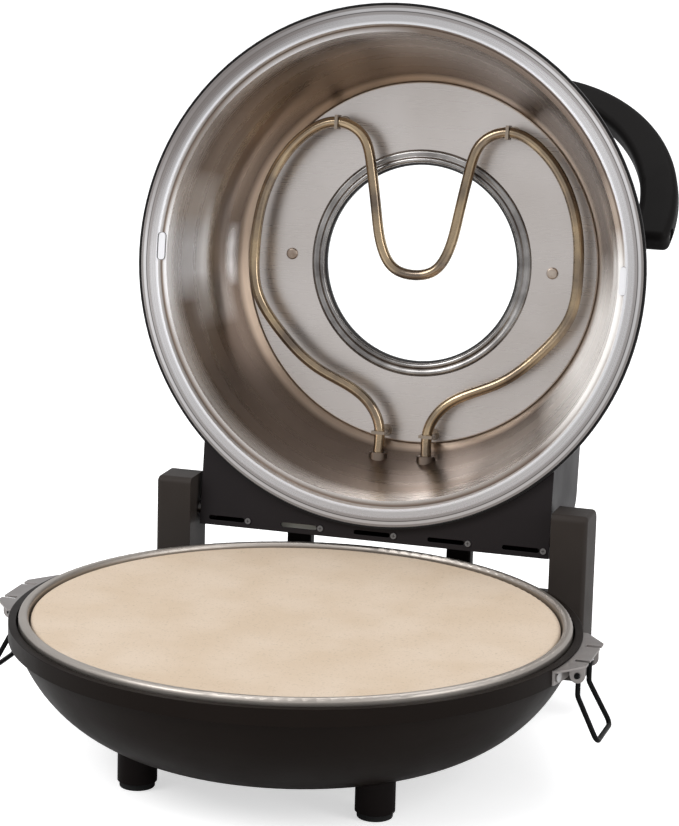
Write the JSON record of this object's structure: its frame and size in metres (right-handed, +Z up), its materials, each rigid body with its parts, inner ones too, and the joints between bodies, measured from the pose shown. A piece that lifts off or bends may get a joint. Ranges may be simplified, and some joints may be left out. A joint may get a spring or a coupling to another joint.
{
  "type": "electric pizza maker",
  "caption": "Round electric pizza maker with a stone in a black bowl base and a hinged steel-lined dome lid with a window, a bent heater, an arch handle and side bails, standing open.",
  "frame": {"origin": "on the floor plane of the foot pads, under the middle of the bounding box with the lid standing open", "axes": "+Z up, -Y to the front where the user stands, +Y to the hinge and along the longest extent, +X to the user's right"},
  "size_m": [0.375, 0.4898, 0.4329],
  "materials": {
    "black_shell": "semi-gloss",
    "black_bowl": "semi-gloss",
    "liner_steel": "polished",
    "plate_steel": "brushed",
    "rim_steel": "polished",
    "zinc_steel": "satin",
    "heater_steel": "heat-tinted satin",
    "glass": "clear",
    "dark_ring": "satin",
    "silicone": "matt",
    "black_plastic": "matt",
    "pillar_plastic": "fine grain",
    "panel_black": "satin",
    "handle_black": "satin",
    "stone": "matt",
    "bush_ceramic": "matt",
    "screw_steel": "bright",
    "foot_rubber": "matt",
    "block_plastic": "matt",
    "wire": "semi-gloss"
  },
  "bodies": {
    "base": {"base_bowl": "black_bowl", "base_liner": "rim_steel", "pizza_stone": "stone", "lower_heater": "heater_steel", "lower_heater_supports": "zinc_steel", "lower_heater_bushes": "bush_ceramic", "thermostat": "zinc_steel", "thermal_fuse": "zinc_steel", "bottom_cover": "panel_black", "bottom_cover_screws": "screw_steel", "base_feet": "black_plastic", "foot_pads": "foot_rubber", "rear_housing": "pillar_plastic", "rear_cover": "panel_black", "rear_cover_screws": "screw_steel", "cord_inlet": "black_plastic", "terminal_block": "block_plastic", "left_pillar": "pillar_plastic", "right_pillar": "pillar_plastic", "hinge_pins": "screw_steel", "stop_posts": "black_plastic", "left_side_bracket": "zinc_steel", "right_side_bracket": "zinc_steel", "bracket_rivets": "screw_steel"},
    "lid": {"lid_shell": "black_shell", "lid_liner": "liner_steel", "reflector_plate": "plate_steel", "liner_rivets": "zinc_steel", "window_inner_ring": "dark_ring", "window_glass": "glass", "window_gasket": "silicone", "window_outer_ring": "dark_ring", "bezel_screws": "screw_steel", "upper_heater": "heater_steel", "upper_heater_supports": "zinc_steel", "upper_heater_bushes": "bush_ceramic", "hinge_housing": "panel_black", "vent_panel": "panel_black", "vent_panel_screws": "screw_steel", "lid_terminal_block": "block_plastic", "lid_handle": "handle_black", "handle_mounts": "black_shell", "handle_screws": "screw_steel", "latch_catches": "zinc_steel"},
    "left_bail": {"left_bail": "wire"},
    "right_bail": {"right_bail": "wire"}
  },
  "joints": [
    {"name": "lid_hinge", "type": "hinge", "parent": "base", "child": "lid", "pos_m": [0, 0.08711, 0.105], "axis": [1, 0, 0], "range_deg": [0, 97]},
    {"name": "right_bail_pivot", "type": "hinge", "parent": "base", "child": "right_bail", "pos_m": [0.173, -0.0769, 0.079], "axis": [0, -1, 0], "range_deg": [0, 176]},
    {"name": "left_bail_pivot", "type": "hinge", "parent": "base", "child": "left_bail", "pos_m": [-0.173, -0.0769, 0.079], "axis": [0, 1, 0], "range_deg": [0, 176]}
  ]
}
